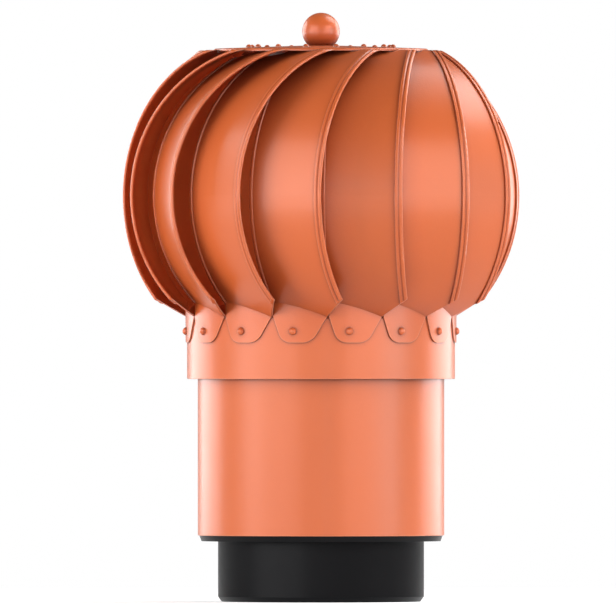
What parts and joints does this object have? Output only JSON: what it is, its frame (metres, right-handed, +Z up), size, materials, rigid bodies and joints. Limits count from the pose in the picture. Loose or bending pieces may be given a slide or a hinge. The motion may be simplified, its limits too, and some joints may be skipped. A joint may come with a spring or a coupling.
{
  "type": "rotating chimney cowl",
  "caption": "Turbine-type chimney cowl: a ball-shaped head of overlapping curved vanes turns on a bearing above a round duct tube with a plug-in spigot and draws flue air out.",
  "frame": {"origin": "centre of the spigot's lower end, on the axis of rotation", "axes": "+Z up along the axis of rotation; -Y is the front seen in the picture, +X to its right"},
  "size_m": [0.241, 0.24, 0.3574],
  "materials": {
    "terracotta_paint": "satin powder coat",
    "black_plastic": "moulded, faint gloss",
    "zinc_steel": "zinc plated",
    "bearing_steel": "ground and polished",
    "turned_aluminium": "turned"
  },
  "bodies": {
    "base": {"spigot_adapter": "black_plastic", "fixed_tube": "terracotta_paint", "base_spider": "zinc_steel", "base_spider_rivets": "zinc_steel", "bearing_housing": "turned_aluminium", "housing_screws": "zinc_steel", "housing_nuts": "zinc_steel", "retaining_ring": "zinc_steel", "upper_bearing_outer_race": "bearing_steel", "upper_bearing_shields": "bearing_steel", "lower_bearing_outer_race": "bearing_steel", "lower_bearing_shields": "bearing_steel"},
    "head": {"collar": "terracotta_paint", "collar_rivets": "terracotta_paint", "top_cap": "terracotta_paint", "cap_rivets": "terracotta_paint", "ball_knob": "terracotta_paint", "rotor_spider": "zinc_steel", "axle": "zinc_steel", "inner_spacer": "zinc_steel", "axle_nuts": "zinc_steel", "thrust_washers": "zinc_steel", "plate_washers": "zinc_steel", "upper_bearing_inner_race": "bearing_steel", "lower_bearing_inner_race": "bearing_steel", "vane_01": "terracotta_paint", "vane_02": "terracotta_paint", "vane_03": "terracotta_paint", "vane_04": "terracotta_paint", "vane_05": "terracotta_paint", "vane_06": "terracotta_paint", "vane_07": "terracotta_paint", "vane_08": "terracotta_paint", "vane_09": "terracotta_paint", "vane_10": "terracotta_paint", "vane_11": "terracotta_paint", "vane_12": "terracotta_paint", "vane_13": "terracotta_paint", "vane_14": "terracotta_paint", "vane_15": "terracotta_paint"},
    "upper_cage": {"upper_bearing_cage": "bearing_steel", "upper_bearing_balls": "bearing_steel"},
    "lower_cage": {"lower_bearing_cage": "bearing_steel", "lower_bearing_balls": "bearing_steel"}
  },
  "joints": [
    {"name": "head_spin", "type": "hinge", "parent": "base", "child": "head", "pos_m": [0, 0, 0.125], "axis": [0, 0, 1], "continuous": true},
    {"name": "upper_cage_spin", "type": "hinge", "parent": "base", "child": "upper_cage", "pos_m": [0, 0, 0.1346], "axis": [0, 0, 1], "continuous": true},
    {"name": "lower_cage_spin", "type": "hinge", "parent": "base", "child": "lower_cage", "pos_m": [0, 0, 0.1116], "axis": [0, 0, 1], "continuous": true}
  ],
  "couplings": [
    {"joint": "upper_cage_spin", "follows": "head_spin", "ratio": 0.3677},
    {"joint": "lower_cage_spin", "follows": "head_spin", "ratio": 0.3677}
  ]
}
